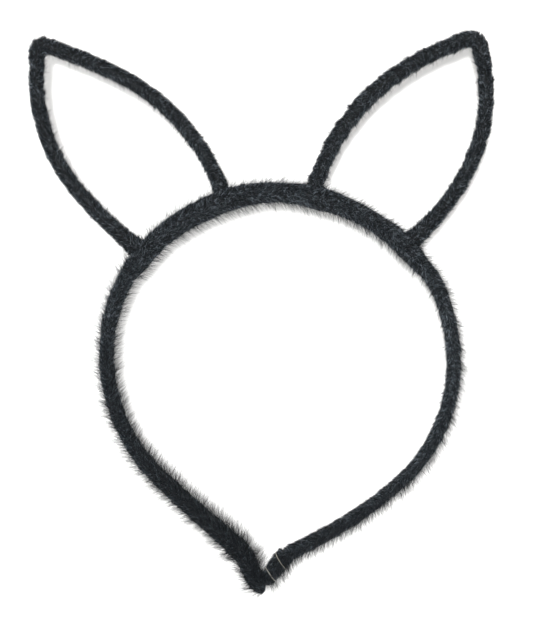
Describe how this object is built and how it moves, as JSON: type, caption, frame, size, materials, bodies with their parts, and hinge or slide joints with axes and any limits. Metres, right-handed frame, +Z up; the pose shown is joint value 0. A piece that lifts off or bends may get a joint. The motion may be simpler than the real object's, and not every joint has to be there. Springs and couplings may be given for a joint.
{
  "type": "animal ears headband",
  "caption": "Slim metal hair hoop with pointed, open wire-frame animal ears, all wound in black plush ribbon; arms flex apart, ears tilt.",
  "frame": {"origin": "centre of the round seat under the crown, midway through the band's depth", "axes": "+Z up as worn, towards the ears; +Y to the back, along the seat's axis; +X to the right as seen from the front"},
  "size_m": [0.1674, 0.0102, 0.2008],
  "materials": {
    "plush": "short black synthetic pile with a dull sheen",
    "steel": "plain drawn spring steel",
    "thread": "matt black polyester thread",
    "glue": "milky hot-melt glue"
  },
  "bodies": {
    "crown": {"crown_strip": "steel", "crown_wrap": "plush", "foot_lashings": "thread", "left_ear_outer_foot": "steel", "left_ear_inner_foot": "steel", "right_ear_outer_foot": "steel", "right_ear_inner_foot": "steel"},
    "left_ear": {"left_ear_wire": "steel", "left_ear_wrap": "plush"},
    "right_ear": {"right_ear_wire": "steel", "right_ear_wrap": "plush"},
    "left_upper": {"left_upper_strip": "steel", "left_upper_wrap": "plush"},
    "left_middle": {"left_middle_strip": "steel", "left_middle_wrap": "plush"},
    "left_lower": {"left_lower_strip": "steel", "left_lower_wrap": "plush", "left_tip_sleeve": "plush", "left_tip_glue": "glue"},
    "right_upper": {"right_upper_strip": "steel", "right_upper_wrap": "plush"},
    "right_middle": {"right_middle_strip": "steel", "right_middle_wrap": "plush"},
    "right_lower": {"right_lower_strip": "steel", "right_lower_wrap": "plush", "right_tip_sleeve": "plush", "right_tip_glue": "glue"}
  },
  "joints": [
    {"name": "left_upper_flex", "type": "hinge", "parent": "crown", "child": "left_upper", "pos_m": [-0.05248, 0, 0.03349], "axis": [0, 1, 0], "range_deg": [0, 16], "stiffness_Nm_per_rad": 0.9},
    {"name": "left_middle_flex", "type": "hinge", "parent": "left_upper", "child": "left_middle", "pos_m": [-0.0618, 0, -0.00639], "axis": [0, 1, 0], "range_deg": [0, 13]},
    {"name": "left_lower_flex", "type": "hinge", "parent": "left_middle", "child": "left_lower", "pos_m": [-0.04267, 0, -0.04297], "axis": [0, 1, 0], "range_deg": [0, 7]},
    {"name": "right_upper_flex", "type": "hinge", "parent": "crown", "child": "right_upper", "pos_m": [0.05248, 0, 0.03349], "axis": [0, -1, 0], "range_deg": [0, 16], "stiffness_Nm_per_rad": 0.9},
    {"name": "right_middle_flex", "type": "hinge", "parent": "right_upper", "child": "right_middle", "pos_m": [0.06193, 0, -0.00663], "axis": [0, -1, 0], "range_deg": [0, 13]},
    {"name": "right_lower_flex", "type": "hinge", "parent": "right_middle", "child": "right_lower", "pos_m": [0.04446, 0, -0.04167], "axis": [0, -1, 0], "range_deg": [0, 7]},
    {"name": "left_ear_tilt", "type": "hinge", "parent": "crown", "child": "left_ear", "pos_m": [-0.04938, 0, 0.03942], "axis": [0.8431, 0, 0.5378], "range_deg": [-30, 30]},
    {"name": "right_ear_tilt", "type": "hinge", "parent": "crown", "child": "right_ear", "pos_m": [0.0464, 0, 0.04251], "axis": [0.8898, 0, -0.4563], "range_deg": [-30, 30]}
  ],
  "couplings": [
    {"joint": "left_middle_flex", "follows": "left_upper_flex", "ratio": 0.8125},
    {"joint": "left_lower_flex", "follows": "left_upper_flex", "ratio": 0.4375},
    {"joint": "right_middle_flex", "follows": "right_upper_flex", "ratio": 0.8125},
    {"joint": "right_lower_flex", "follows": "right_upper_flex", "ratio": 0.4375}
  ]
}
